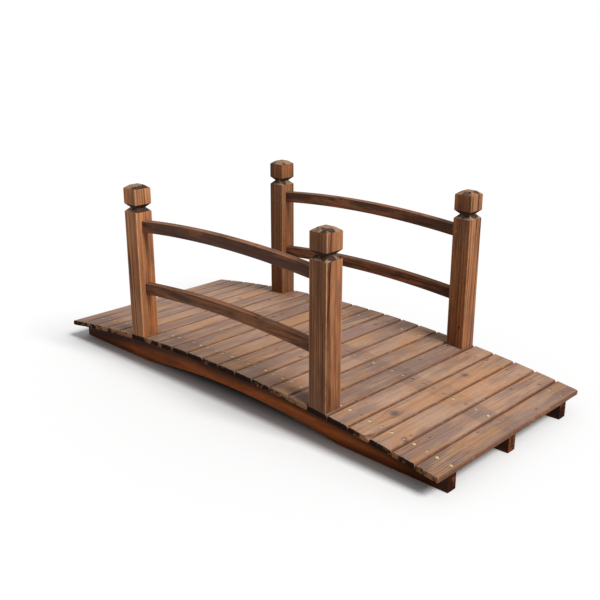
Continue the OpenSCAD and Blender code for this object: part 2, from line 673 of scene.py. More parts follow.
@dataclass(frozen=True)
class TimberFinish:
    """Long-grain faces of one kind of piece: rings, knots, stains, and edges marked partly by
    wear and partly by painted shade and highlight.

    The dark part of a ring is a thin line on a broad shadow, and sharp is the line's width.
    Wander and ripple bend the rings, and spread makes them uneven. Vein, streaks, mottle,
    grit and speck are how strong the finer marks are.
    """

    name: str
    pale: Colour
    warm: Colour
    cool: Colour
    late: Colour
    knot: Colour
    edge: Colour
    line: float = 0.66
    shadow: float = 0.24
    cool_share: float = 0.8
    edge_share: float = 0.5
    tone_range: float = 0.22
    ring_range: float = 0.06
    vein: float = 0.14
    wander: float = 0.0060
    ripple: float = 0.0014
    mottle: float = 0.30
    grit: float = 0.34
    gloss: float = 0.10
    spread: float = 1.6
    streaks: float = 0.22
    speck: float = 0.10
    sharp: float = 0.24
    painted_shade_on: bool = False

    @staticmethod
    def knots(g: Surface, point: Value) -> tuple[Value, Value, Value]:
        """The knots, and how they push the rings aside.

        Args:
            g: The material's nodes.
            point: The place, seen from the heart.

        Returns:
            The place across the log that the rings have here, how much knot there is, and
            how much of the dark wood round one.
        """
        along, across, _ = g.apart(point)
        ragged = g.noise(point, (150, 190, 190), 2.0) - 0.5
        bent, core, halo = across, 0.0, 0.0
        for slot in range(KNOT_SLOTS):
            here, side, half = g.apart(g.attribute(f"knot_{slot + 1}", "Vector"))
            off = across - side
            far = g.math("SQRT", ((along - here) / (half * 1.3)) ** 2 + (off / half) ** 2)
            bent = bent - off * g.math("EXPONENT", far * far * -0.22) * 0.65
            near = far + ragged * 1.5
            core = g.most(core, 1 - g.smooth(near, 0.1, 1.2))
            halo = g.most(halo, 1 - g.smooth(near, 0.5, 2.2))
        return bent, core, halo

    @staticmethod
    def painted_shade(g: Surface) -> Value:
        """Painted shade on a beam: darker under the boards' overhang, where their shadow falls,
        and at its foot by the floor; also darker towards its ends.

        Args:
            g: The material's nodes.

        Returns:
            The share of its lightness that it keeps.
        """
        along, _, height = g.apart(g.place())
        depth = SIZES.arc_r - g.length(along, height - SIZES.arc_z)
        end = g.smooth(g.math("ABSOLUTE", along), 0.47, 0.66)
        return (0.20 + g.smooth(depth, 0.035, 0.057) * 0.82) * (1 - end * 0.55) * (
            0.60 + g.smooth(height, 0.003, 0.024) * 0.40)

    def material(self) -> Material:
        """Builds the material, which reads what the grain stored in the mesh."""
        g = Surface(self.name)
        point = g.attribute("log", "Vector")
        along, _, up = g.apart(point)
        bent, core, halo = self.knots(g, point)

        # Rings
        slow = g.noise(point, (2.2, 14, 14), 1.0) - 0.5
        quick = g.noise(point, (11, 60, 60), 5.0, 0.6) - 0.5
        phase = (g.length(bent, up) + slow * self.wander + quick * self.ripple
                 ) / g.attribute("ring")
        phase = phase + g.noise(g.vector(phase * 0.8, along * 0.7, 0.0), (1, 1, 1),
                                1.0) * self.spread
        turn, year = g.rings(phase)
        thin = g.smooth(turn, 0.90 - self.sharp, 0.90) * (1 - g.smooth(turn, 0.92, 1.0))
        broad = g.smooth(turn, 0.10, 0.88) * (1 - g.smooth(turn, 0.90, 1.0))
        strong = g.smooth(g.noise(point, (7, 34, 34), 2.0, 0.6), 0.34, 0.66)
        shown = g.attribute("show")

        # Fibres, which flow round the knots with the rings
        flow = g.vector(along, bent, up)
        fibre = g.noise(flow, (19, 700, 700), 3.0, 0.65)
        streak = g.noise(flow, (1.6, 120, 120), 2.0, 0.6)
        vein = g.smooth(g.noise(flow, (2.0, 260, 260), 2.0, 0.55), 0.54, 0.68)
        specks = g.smooth(g.noise(flow, (110, 420, 420), 3.0, 0.7), 0.54, 0.70)
        grit = g.noise(flow, (150, 900, 900), 2.0, 0.6)

        # Stains
        patch = g.noise(point, (5, 26, 26), 3.0, 0.62)
        blush = g.noise(g.vector(along, up, bent), (7, 20, 20), 2.0, 0.55)
        smudge = g.noise(point, (38, 70, 70), 4.0, 0.65)
        cloud = g.smooth(patch + (g.attribute("cool") - 0.5) * 0.24 + (smudge - 0.5) * 0.15,
                         0.42, 0.66)
        middle, half, dark = g.apart(g.attribute("band", "Vector"))
        _, beside, _ = g.apart(g.place())
        offset = g.math("ABSOLUTE", beside - middle + (smudge - 0.5) * 0.012)
        band = (1 - g.smooth(offset - half, -0.004, 0.004)) * dark
        edge_mark_patches = 0.45 + g.smooth(smudge, 0.30, 0.56) * 0.55

        warmth = g.smooth(blush + (streak - 0.5) * 0.4, 0.40, 0.62)
        colour = g.mix(warmth, self.pale, self.warm)
        for share, tint in (
                (cloud * self.cool_share, self.cool),
                (band * (0.25 + cloud * 0.45), self.cool),
                (broad * self.shadow * (0.3 + year * 1.2) * shown, self.late),
                (thin * self.line * (0.10 + strong * (0.35 + year * 0.9)) * shown, self.late),
                (vein * self.vein, self.late),
                (halo * 0.25, self.late),
                (core * 0.82, self.knot),
                # Edge marks, partly wear and partly painted light: shade on the boards' rounded
                # sides, highlights on the posts' and rails' edges
                (g.attribute("edge") * self.edge_share * edge_mark_patches, self.edge),
                (specks * self.speck, self.late),
                # Painted shade in the boards' screw recesses
                (g.attribute("deep") * 0.85, self.late)):
            colour = g.mix(share, colour, tint)

        light = 0.99 - band * 0.08
        for mark, strength in ((fibre, 0.50), (streak, self.streaks), (grit, self.grit),
                               (smudge, self.mottle), (year, self.ring_range),
                               (g.attribute("tone"), self.tone_range)):
            light = light + (mark - 0.5) * strength
        # Painted shade on the beams: under the deck, towards their ends and at their foot
        if self.painted_shade_on:
            light = light * self.painted_shade(g)
        relief = fibre * 0.5 + grit * 0.3 - thin * 0.3 * shown - core * 0.3
        return g.finish(Base_Color=g.shade(colour, light),
                        Roughness=0.58 + (fibre - 0.5) * 0.2 + thin * 0.06,
                        Normal=g.bump(relief, 0.0003), Specular_IOR_Level=self.gloss)


@dataclass(frozen=True)
class EndGrainFinish:
    """Sawn ends: rings as arcs, pores, the black that the heat leaves, and lighter edges that are
    partly wear and partly a painted highlight.

    A place is burnt where a pattern lies below a level, which runs from char_low to
    char_high with what the grain says, over an edge as soft as char_blur.
    """

    name: str
    wood: Colour
    pale: Colour
    char: Colour
    edge: Colour
    char_low: float = 0.35
    char_high: float = 0.75
    char_blur: float = 0.07
    char_depth: float = 0.96
    line: float = 0.6

    def material(self) -> Material:
        """Builds the material, which reads what the grain stored in the mesh."""
        g = Surface(self.name)
        point = g.attribute("log", "Vector")
        _, across, up = g.apart(point)
        wave = g.noise(point, (20, 60, 60), 2.0) - 0.5
        phase = (g.length(across, up) + wave * 0.0022) / g.attribute("ring")
        phase = phase + g.noise(g.vector(phase * 0.8, 0.0, 0.0), (1, 1, 1), 1.0) * 1.6
        turn, year = g.rings(phase)
        line = g.smooth(turn, 0.45, 0.80) * (1 - g.smooth(turn, 0.85, 1.0)) * (0.35 + year)
        pores = g.noise(point, (60, 1000, 1000), 2.0, 0.6)
        patch = g.noise(point, (3, 34, 34), 3.0, 0.6)
        level = g.attribute("char") * (self.char_high - self.char_low) + self.char_low
        burnt = 1 - g.smooth(patch - level, -self.char_blur, self.char_blur)
        end_edge_patches = g.smooth(g.noise(point, (60, 90, 90), 3.0, 0.6), 0.36, 0.60)

        colour = g.mix(line * self.line, self.wood, self.pale)
        colour = g.mix(burnt * (self.char_depth - line * 0.06), colour, self.char)
        # Edge marks, partly wear and partly a painted highlight
        colour = g.mix(g.attribute("edge") * end_edge_patches * 0.72, colour, self.edge)
        return g.finish(Base_Color=g.shade(colour, 0.76 + pores * 0.48),
                        Roughness=0.85 + (pores - 0.5) * 0.1,
                        Normal=g.bump(pores * 0.6 + line * 0.4, 0.0004),
                        Specular_IOR_Level=0.0)


@dataclass(frozen=True)
class ScrewFinish:
    """Plating on a screw head, yellow, pale, coppery or aged, with dirt in blotches, and darker
    in its cross.
    """

    name: str = "screw_plating"
    yellow: Colour = "f0d896"
    pale: Colour = "ceb894"
    coppery: Colour = "ba9276"
    aged: Colour = "8c6a38"
    dirt: Colour = "544022"

    def material(self) -> Material:
        """Builds the material, which reads the shade and deep attributes."""
        g = Surface(self.name)
        deep = g.smooth(g.attribute("deep"), 0.3, 1.0)
        blotch = g.noise(g.place(), (500, 500, 500))
        stops = [(plating.value, getattr(self, plating.name.lower())) for plating in Plating]
        plate = g.node("ShaderNodeValToRGB", {0: g.attribute("shade")}, stops=stops)
        colour = g.mix(g.smooth(blotch, 0.5, 0.75) * 0.3, plate.outputs[0], self.dirt)
        # Darker in the cross's slots
        colour = g.mix(deep * 0.55, colour, self.dirt)
        return g.finish(Base_Color=colour, Metallic=0.65 - deep * 0.4,
                        Roughness=0.30 + blotch * 0.2 + deep * 0.2)


class Finishes:
    """All materials of the bridge, each made once."""

    def __init__(self) -> None:
        """Builds every material."""
        # The boards' edge colour is painted shade on their rounded sides, and their ends' edge
        # colour is a painted highlight, both partly wear
        self.board = TimberFinish(
            "deck_board_wood", pale="b7957d", warm="ba8d6a", cool="8e756b", late="604032",
            knot="4e5058", edge="704228", edge_share=0.85, line=0.80, mottle=0.42,
            grit=0.46).material()
        self.board_end = EndGrainFinish(
            "deck_board_end", wood="966a4c", pale="b28868", char="1b1818", edge="d2b294",
            char_blur=0.09).material()
        # The beams get painted shade under the deck, towards their ends and at their foot
        self.beam = TimberFinish(
            "beam_wood", pale="ac5e30", warm="ba6432", cool="804426", late="5c2c16",
            knot="2c1810", edge="965a38", line=0.4, wander=0.003, ripple=0.0004,
            painted_shade_on=True).material()
        self.beam_end = EndGrainFinish(
            "beam_end", wood="704026", pale="8c5838", char="341e16", edge="965a38").material()
        # The posts' edge colour is a painted highlight on their upright edges, partly wear
        self.post = TimberFinish(
            "post_wood", pale="b67e56", warm="ba784c", cool="8a5c42", late="3e1e12",
            knot="341e16", edge="ce9c72", line=0.95, shadow=0.34, edge_share=0.8, vein=0.30,
            tone_range=0.9, ripple=0.0015, mottle=0.28, ring_range=0.16, grit=0.5, spread=2.6,
            streaks=0.80, speck=0.22, sharp=0.17).material()
        self.post_end = EndGrainFinish(
            "post_end", wood="9c7c66", pale="b59983", char="382820", edge="bea086", char_low=0.36,
            char_high=0.66, char_depth=0.90, line=0.55).material()
        # The rails' edge colour is a painted highlight on their upper edges, partly wear
        self.rail = TimberFinish(
            "rail_wood", pale="9a6646", warm="a26542", cool="46322a", late="381e16",
            knot="2c221e", edge="b88666", line=0.85, cool_share=0.9, shadow=0.25, edge_share=0.7,
            tone_range=0.5, vein=0.10, ripple=0.0010, streaks=0.40, speck=0.12,
            sharp=0.10).material()
        self.rail_end = EndGrainFinish(
            "rail_end", wood="684634", pale="845c44", char="302622", edge="96684c").material()
        self.screw = ScrewFinish().material()


@dataclass
class SubAssembly:
    """What the parts of the bridge have in common: the finishes and the sizes."""

    finishes: Finishes
    sizes: BridgeSizes = SIZES

    @staticmethod
    def report(thing: Thing, slot: str, *nodes: str) -> None:
        """Ties a finished piece to the frame, and logs it.

        Args:
            thing: The finished mesh object.
            slot: The record's material slot; not used.
            nodes: The CAD nodes that it stands for.
        """
        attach(thing, BODY)
        if nodes:
            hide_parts(*nodes)
        log.info("%s: %d faces", thing.name, len(thing.data.polygons))

    @staticmethod
    def dress(thing: Thing, finishes: tuple[Material, ...],
              is_end: Callable[[Face], bool] = lambda f: False) -> None:
        """Gives a piece its finishes.

        Args:
            thing: The mesh object.
            finishes: The finish of long grain, and that of end grain if it has any.
            is_end: Says of a face whether it is end grain.
        """
        thing.data.materials.clear()
        for finish in finishes:
            thing.data.materials.append(finish)
        for face in thing.data.polygons:
            face.material_index = int(is_end(face))


# The corners that have split off boards. Each plane is given by three points, seen from the
# corner that goes, counter-clockwise, and measured from the board's lower corner.
CHIPS = {
    19: ((-0.0166, 0, 0.0155), (0, 0, 0.0075), (0, 0.060, 0.0155)),
    20: ((-0.007, 0, 0), (0, 0.016, 0), (0, 0, 0.0055)),
}

# How the boards at the second end were sawn
BOARDS = {
    17: dict(knots=((-0.216, 0.031, 0.0035), (0.120, -0.012, 0.004)), char=1.0),
    18: dict(heart_across=0.10, heart_up=-0.02, ring=0.0040, char=1.2, cool=0.5, tone=0.8,
             knots=((-0.207, -0.012, 0.0022),), band=(-0.004, 0.036, 0.9)),
    19: dict(heart_across=-0.024, heart_up=-0.075, ring=0.0050, char=0.14, char_lean=-17,
             cool=0.30, tone=0.7, show=0.6, band=(0.012, 0.040, 0.8),
             knots=((-0.190, -0.0015, 0.0150), (0.141, -0.008, 0.0100))),
    20: dict(heart_across=-0.052, heart_up=-0.050, ring=0.0046, char=0.57, char_lean=-12,
             cool=0.42, tone=0.9, band=(0.000, 0.038, 0.6),
             knots=((-0.2425, 0.021, 0.0030), (-0.269, 0.023, 0.0066),
                    (-0.273, 0.032, 0.0058))),
    21: dict(heart_across=-0.058, heart_up=-0.040, ring=0.0042, char=0.57, char_lean=15,
             cool=0.80, tone=0.8, band=(-0.008, 0.038, 0.9),
             knots=((-0.2115, -0.013, 0.0028), (0.178, -0.020, 0.0040),
                    (-0.120, -0.008, 0.0022))),
    22: dict(knots=((0.289, 0.010, 0.0035), (0.140, 0.012, 0.0030), (-0.092, -0.021, 0.0035)),
             cool=0.7, char=0.3, band=(0.004, 0.036, 0.7)),
}


@dataclass
class Deck(SubAssembly):
    """The boards of the deck, with a round recess for each screw."""

    cuts: int = 30
    arris: float = 0.0010
    hollows: float = 0.0005
    hollow_len: float = 0.055
    recess_r: float = 0.0058
    recess_foot_share: float = 0.84
    recess_depth: float = 0.0019
    recess_sides: int = 28
    screw_offset: float = 0.019
    screw_seed: int = 500
    end_darker: float = 0.56
    middle_plain: float = 0.45

    def matrix(self, number: int) -> Matrix:
        """A board's place on the arch, from the bench where it lies flat."""
        angle = self.sizes.plank_angle(number)
        seat = self.sizes.on_arc(self.sizes.arc_r, angle)
        return Matrix.Translation(seat) @ Matrix.Rotation(angle, 4, "Y")

    def screw_spots(self, number: int) -> list[tuple[float, float]]:
        """Where a board's six screws go, across and along it, a little out of true."""
        rng = random.Random(number + self.screw_seed)
        rows = (-self.sizes.beam_y, 0.0, self.sizes.beam_y)
        return [(way * self.screw_offset + rng.uniform(-0.0014, 0.0014),
                 row + rng.uniform(-0.0018, 0.0018)) for row in rows for way in (-1, 1)]

    def blank(self) -> Thing:
        """The planed board, lying flat on its underside at the origin."""
        s = self.sizes
        board = Bench.block("board", (s.plank_w, s.plank_len, s.plank_t),
                            (0, 0, s.plank_t / 2))
        Bench.work(board, "EDGE", lambda a, b: abs(a.y - b.y) > s.plank_len / 2,
                   partial(bpy.ops.mesh.subdivide, number_cuts=self.cuts))
        for height, offset, segments in ((s.plank_t, s.plank_round, 6),
                                         (0.0, s.plank_under_round, 3)):
            Bench.work(board, "EDGE", lambda a, b: a.x == b.x and all(
                abs(p.z - height) < NEAR and abs(abs(p.x) - s.plank_w / 2) < NEAR
                for p in (a, b)), Bench.bevel(offset, segments))
        end = s.plank_len / 2 - NEAR
        Bench.work(board, "EDGE", lambda a, b: a.y * b.y > 0 and min(
            abs(a.y), abs(b.y)) > end, Bench.bevel(self.arris, 2))
        return board

    def cut(self, board: Thing, number: int) -> None:
        """Splits off its lost corner, wears its faces and sinks a recess for each screw.

        Args:
            board: The board's mesh object.
            number: The board's number.
        """
        s = self.sizes
        if number in CHIPS:
            Bench.slice(board, *((s.plank_w / 2 + x, y - s.plank_len / 2, z)
                                 for x, y, z in CHIPS[number]))
        note(board, "edge", self.edge)
        Bench.wear(board, self.hollows, self.hollow_len, number)
        Bench.carve(board, Bench.join("recesses", [
            Bench.drum("recess", self.recess_r, 2 * self.recess_depth, (x, y, s.plank_t),
                       self.recess_sides, foot=self.recess_r * self.recess_foot_share)
            for x, y in self.screw_spots(number)]))
        # Marks the recesses' walls and floors for painted shade
        flat = s.plank_w / 2 - s.plank_round
        note(board, "deep", lambda p: float(
            abs(p.x) < flat and 0.7 < (s.plank_t - p.z) / self.recess_depth < 2))

    @staticmethod
    def grain(number: int) -> Grain:
        """How a board was sawn, at random where it isn't known.

        Args:
            number: The board's number.

        Returns:
            Its grain.
        """
        rng = random.Random(number)
        knots = tuple((rng.uniform(-0.3, 0.3), rng.uniform(-0.026, 0.026),
                       rng.uniform(0.002, 0.0075)) for _ in range(rng.randint(0, KNOT_SLOTS)))
        band = (rng.uniform(-0.012, 0.012), rng.uniform(0.034, 0.040), rng.uniform(0.4, 1.0))
        known = dict(knots=knots, band=band) | BOARDS.get(number, {})
        return Grain.pick(rng, 0.035, 0.110, (0.0034, 0.0056), **known)

    def edge(self, p: Vector) -> float:
        """How much a board's edges are marked, partly wear: painted shade on its rounded sides,
        where the joints' shade falls, and a painted highlight on the edge of its ends.

        Args:
            p: A corner of its mesh, on the bench.

        Returns:
            The wear, from 0 to 1.
        """
        s = self.sizes
        gap = s.plank_len / 2 - abs(p.y)
        if gap >= self.arris * 0.9:
            return ramp_between(s.plank_w / 2 - s.plank_round, s.plank_w / 2 - 0.0015, abs(p.x))
        rise = ramp_between(s.plank_t - s.plank_round * 1.2, s.plank_t - 0.0012, p.z)
        return rise if gap > self.arris * 0.1 else 0.0

    def build(self) -> None:
        """Models a board, and cuts, dresses and lays a copy of it for each one."""
        middle = self.sizes.plank_t / 2
        blank = self.blank()
        for number in range(1, self.sizes.plank_count + 1):
            board = Bench.twin(blank, f"board_{number:02d}")
            self.cut(board, number)
            Bench.smooth(board)
            self.grain(number).mark(
                board, lambda p: (p.y, p.x, p.z - middle),
                darker=lambda p: self.end_darker * ramp_between(0.22, 0.32, abs(p.y)),
                plain=lambda p: self.middle_plain * (1 - ramp_between(0.13, 0.26, abs(p.y))))
            self.dress(board, (self.finishes.board, self.finishes.board_end),
                       lambda f: abs(f.normal.y) > 0.3)
            Bench.place(board, self.matrix(number))
            self.report(board, "deck_boards", f"deck_plank_{number:02d}")
        Bench.scrap(blank)


@dataclass
class Beams(SubAssembly):
    """Three beams on edge, sawn to the deck's arch above and to a shallow arch below."""

    sides: int = 1440
    arris: float = 0.0012
    sharp: float = 50
    seed: int = 100

    def blank(self) -> Thing:
        """A beam at the middle of the bridge."""
        s = self.sizes
        tall = s.arc_z + s.arc_r + 0.02
        beam = Bench.block("beam", (2 * s.beam_half, s.beam_t, tall), (0, 0, tall / 2))
        for name, radius, height, how in (
                ("deck_arc", s.arc_r, s.arc_z, "INTERSECT"),
                ("arch", s.arch_r, s.arch_rise - s.arch_r, "DIFFERENCE")):
            Bench.carve(beam, Bench.drum(name, radius, 0.2, (0, 0, height), self.sides,
                                         turned=(math.pi / 2, 0, 0)), how)
        Bench.soften(beam, self.arris, self.sharp)
        return beam

    def edge(self, p: Vector) -> float:
        """1 on the worn lower edges, 0 away from them."""
        return float(1e-5 < self.sizes.beam_t / 2 - abs(p.y) < self.arris * 0.9
                     and p.z < self.sizes.arch_rise)

    def build(self) -> None:
        """Models a beam, and dresses and places a copy of it for each one."""
        s = self.sizes
        blank = self.blank()
        for number, (where, node, y) in enumerate((
                ("left", "side_beam_left", s.beam_y), ("centre", "centre_beam", 0.0),
                ("right", "side_beam_right", -s.beam_y))):
            beam = Bench.twin(blank, f"beam_{where}")
            Bench.smooth(beam)
            Grain.pick(random.Random(self.seed + number), 0.06, 0.12, (0.0034, 0.0046), 0.008,
                       tone=0.5, show=0.8, heart_across=-0.11, heart_up=-0.02).mark(
                beam, lambda p: (p.x, p.z - s.beam_end_h, p.y), self.edge)
            self.dress(beam, (self.finishes.beam, self.finishes.beam_end),
                       lambda f: abs(f.normal.x) > 0.8)
            Bench.place(beam, Matrix.Translation((0, y, 0)))
            self.report(beam, "beams", node)
        Bench.scrap(blank)


@dataclass
class Posts(SubAssembly):
    """Four square posts with a groove under a bevelled head, each on its board.

    A post's own origin is on its axis at its shoulder's height, under the groove.
    """

    arris: float = 0.0014
    # Width of the upright edges' painted highlight and wear
    worn: float = 0.0032
    head_round: float = 0.0016
    below: float = 0.02
    toe_inset: float = 0.0097
    toe_drop: float = 0.0154
    toe_turn: float = 0.35
    toe_sink: float = 0.0012
    pocket_r: float = 0.0050
    pocket_foot_r: float = 0.0034
    pocket_depth: float = 0.008
    pocket_lift: float = 0.0022
    pocket_sides: int = 20
    sharp: float = 32
    smooth: float = 28
    # Painted shade on the faces that look across the bridge
    side_darker: float = 0.32
    head_char: float = 0.37
    seed: int = 200

    @property
    def brow(self) -> float:
        """Height of the head's upper edge above the shoulder."""
        return self.sizes.groove_h + self.sizes.head_h

    def axis(self, side: Side, end: End) -> Vector:
        """The point of a post's axis at the height of its shoulder."""
        s = self.sizes
        return Vector((end.value * s.post_seat.x, side.value * s.post_y, s.shoulder_z))

    def toe_screws(self, side: Side, end: End) -> list[Matrix]:
        """Places of the two screws that go slantwise through a post into its rails.

        Args:
            side: The post's side of the bridge.
            end: The post's end of the bridge.

        Returns:
            Where each head lies, with its face along Z.
        """
        s = self.sizes
        facing = Matrix.Rotation(side.value * end.value * self.toe_turn, 4, "Z") @ (
            Matrix.Rotation(side.value * math.pi / 2, 4, "X"))
        corner = self.axis(side, end) + Vector((
            end.value * (self.toe_inset - s.post_w / 2), -side.value * s.post_w / 2, 0))
        return [Matrix.Translation(corner - Vector((0, 0, drop + self.toe_drop))) @ facing
                @ Matrix.Translation((0, 0, -self.toe_sink))
                for drop in (s.upper_rail_drop, s.lower_rail_drop)]

    def draw_head(self, post: Thing) -> None:
        """Draws the groove and the head up out of the post's top face.

        Args:
            post: The post's mesh object.
        """
        s = self.sizes
        neck = 1 - 2 * s.groove_depth / s.post_w
        flat = 1 - 2 * s.cap_inset / s.post_w
        for rise, share in ((s.groove_h / 2, neck), (s.groove_h / 2, 1 / neck),
                            (s.head_h, 1.0), (s.cap_h, flat)):
            top = max(p.co.z for p in post.data.vertices)
            Bench.work(post, "FACE", lambda f: f.normal.z > 0.99 and f.center.z > top - 1e-5,
                       partial(bpy.ops.mesh.extrude_region_move,
                               TRANSFORM_OT_translate={"value": (0, 0, rise)}),
                       partial(bpy.ops.transform.resize, value=(share, share, 1)))

    def blank(self) -> Thing:
        """A post of the second end, its axis upright through the origin."""
        s = self.sizes
        tall = s.post_h + self.below
        post = Bench.block("post", (s.post_w, s.post_w, tall), (0, 0, -tall / 2))
        self.draw_head(post)
        Bench.bisect(post, (0, 0, -s.post_h), (math.sin(s.post_angle), 0,
                                               math.cos(s.post_angle)), clear_inner=True)
        Bench.work(post, "EDGE", lambda a, b: max(a.z, b.z) > self.brow + s.cap_h / 2,
                   Bench.bevel(self.head_round, 3))
        Bench.soften(post, self.arris, self.sharp)
        inner = s.post_w / 2 - self.worn
        for way in (-1, 1):
            Bench.bisect(post, (way * inner, 0, 0), (1, 0, 0))
            Bench.bisect(post, (0, way * inner, 0), (0, 1, 0))
        return post

    def split_head(self, post: Thing) -> None:
        """Splits a chip out of the head, from the face that looks to the end up to its flat.

        Args:
            post: The post's mesh object, of the second end.
        """
        face, flat = self.sizes.post_w / 2, self.sizes.post_w / 2 - self.sizes.cap_inset
        over = self.brow + self.sizes.cap_h + 0.0003
        deepest = (face, -0.0177, self.brow - 0.0050)
        rim = ((face, -0.0276, self.brow), (flat, -0.0142, over), (flat, -0.0040, over),
               (face, -0.0032, self.brow))
        chip = Bench.block("chip", (0.06, 0.07, 0.06), (face, -0.010, self.brow + 0.010))
        for a, b in zip(rim, rim[1:]):
            Bench.slice(chip, deepest, a, b)
        Bench.carve(post, chip)

    def sink_pockets(self, post: Thing, side: Side, end: End) -> None:
        """Sinks a pocket for each toe screw.

        Args:
            post: The post's mesh object, turned but not yet in its place.
            side: The post's side of the bridge.
            end: The post's end of the bridge.
        """
        for screw in self.toe_screws(side, end):
            pocket = Bench.drum("pocket", self.pocket_r, self.pocket_depth, (0, 0, 0),
                                self.pocket_sides, foot=self.pocket_foot_r)
            Bench.place(pocket, Matrix.Translation(-self.axis(side, end)) @ screw
                        @ Matrix.Translation((0, 0, self.pocket_lift)))
            Bench.carve(post, pocket)

    def near_neck(self, p: Vector, reach: float) -> bool:
        """Whether a point lies at the bottom of the groove."""
        return abs(p.z - self.sizes.groove_h / 2) < reach

    def is_sawn(self, face: Face) -> bool:
        """Whether a face of a post lies across the grain: not where the head has split."""
        split = face.center.z > self.brow - 0.006 and face.normal.z < 0.79
        return self.near_neck(face.center, 0.0016) or abs(face.normal.z) > 0.6 and not split

    def edge(self, p: Vector) -> float:
        """1 on the upright edges, which get a painted highlight as well as wear, and along the
        bottom of the groove.
        """
        half = self.sizes.post_w / 2
        return max(float(self.near_neck(p, 0.0003)), ramp_between(
            half - self.worn, half - self.arris / 2, min(abs(p.x), abs(p.y))))

    def char(self, p: Vector) -> float:
        """How burnt the sawn slopes are: most under the head, least on its flat top.

        Args:
            p: A corner of the post's mesh, on the bench.

        Returns:
            The char, from 0 to about 1.
        """
        s = self.sizes
        crown = self.brow + s.cap_h
        if p.z > s.groove_h + s.head_h / 2:
            return self.head_char * (1 - ramp_between(crown - 0.0006, crown - 0.0001, p.z))
        return 0.28 + 0.45 * ramp_between(0, s.groove_h / 2, p.z) + 0.35 * ramp_between(
            s.groove_h / 2, s.groove_h, p.z)

    def build(self) -> None:
        """Models a post, and turns, dresses and places a copy of it for each one."""
        blank = self.blank()
        for number, (side, end) in enumerate((side, end) for side in Side for end in End):
            label = f"{side.name.lower()}_post_{1 if end is End.FIRST else 2}"
            post = Bench.twin(blank, f"{label}_wood")
            known = dict(knots=(), show=1.0)
            if end is End.FIRST:
                Bench.place(post, Matrix.Rotation(math.pi, 4, "Z"))
            elif side is Side.LEFT:
                self.split_head(post)
                known = dict(heart_across=-0.062, heart_up=-0.040, ring=0.0062, lean_up=0.055,
                             tone=0.58, show=1.0, knots=((-0.33, 0.012, 0.003),))
            self.sink_pockets(post, side, end)
            Bench.smooth(post, self.smooth)
            # The faces that look across the bridge get painted shade through the darker rule
            Grain.pick(random.Random(self.seed + number), 0.035, 0.070, (0.0050, 0.0068), 0.012,
                       **known).mark(post, lambda p: (p.z, p.x, p.y), self.edge,
                                     lambda p: self.side_darker * float(
                                         abs(p.y) > abs(p.x)), self.char)
            self.dress(post, (self.finishes.post, self.finishes.post_end), self.is_sawn)
            Bench.place(post, Matrix.Translation(self.axis(side, end)))
            self.report(post, "posts", label)
        Bench.scrap(blank)


@dataclass
class Rails(SubAssembly):
    """Four curved rails with rounded edges, cut plumb against their posts."""

    steps: int = 48
    top_lighter: float = 0.12
    under_lighter: float = 0.35
    seed: int = 300

    def blank(self) -> Thing:
        """A rail spun from its section, with its top at the origin's height at its ends."""
        s = self.sizes
        sweep = 2 * math.asin((s.rail_half + 0.01) / (s.rail_r - s.rail_h))
        rail = Bench.start("rail", bpy.ops.mesh.primitive_plane_add, size=1)
        Bench.place(rail, Matrix.Rotation(math.pi / 2, 4, "Y") @ Matrix.Diagonal(
            (s.rail_h, s.rail_t, 1, 1)))
        Bench.work(rail, "VERT", None, Bench.bevel(s.rail_round, 4, "VERTICES"))
        Bench.place(rail, Matrix.Translation((0, 0, s.rail_axis_z)) @ Matrix.Rotation(
            -sweep / 2, 4, "Y") @ Matrix.Translation((0, 0, s.rail_r - s.rail_h / 2)))
        Bench.work(rail, "FACE", None, partial(
            bpy.ops.mesh.spin, steps=self.steps, angle=-sweep, center=(0, 0, s.rail_axis_z),
            axis=(0, 1, 0)))
        for way in (-1, 1):
            Bench.bisect(rail, (way * s.rail_half, 0, 0), (way, 0, 0), clear_outer=True)
        Bench.work(rail, "FACE", None, partial(bpy.ops.mesh.normals_make_consistent,
                                               inside=False))
        return rail

    def rise(self, p: Vector) -> float:
        """How far a point lies above the rail's curved top: below 0 everywhere else."""
        return math.hypot(p.x, p.z - self.sizes.rail_axis_z) - self.sizes.rail_r

    def edge(self, p: Vector) -> float:
        """How much a corner is marked: most on the upper edges, with a painted highlight as well
        as wear, and a little all over the top, which is lighter.
        """
        s = self.sizes
        near = s.rail_round + min(self.rise(p), abs(p.y) - s.rail_t / 2)
        return max(self.top_lighter * float(self.rise(p) > -NEAR),
                   ramp_between(0, s.rail_round * 0.7, near))

    def build(self) -> None:
        """Models a rail, and dresses and places a copy of it for each one."""
        s = self.sizes
        blank = self.blank()
        for side in Side:
            for level, drop, tone in (("upper", s.upper_rail_drop, 0.75),
                                      ("lower", s.lower_rail_drop, 0.2)):
                label = f"{side.name.lower()}_{level}_rail"
                rail = Bench.twin(blank, f"{label}_wood")
                Bench.smooth(rail)
                rng = random.Random(self.seed + side.value + int(drop * 1000))
                Grain.pick(
                    rng, 0.03, 0.06, (0.0090, 0.0120), 0.015, tone=tone, show=1.0,
                    knots=((0.14 if side is Side.RIGHT else -0.1, 0.012, 0.0045),)).mark(
                    rail, lambda p: (p.x, p.z, p.y), self.edge,
                    lambda p: -self.under_lighter * ramp_between(
                        0.010, s.rail_h - 0.004, -self.rise(p)))
                self.dress(rail, (self.finishes.rail, self.finishes.rail_end),
                           lambda f: abs(f.normal.x) > 0.9)
                Bench.place(rail, Matrix.Translation(
                    (0, side.value * s.post_y, s.shoulder_z - drop)))
                self.report(rail, "rails", label)
        Bench.scrap(blank)


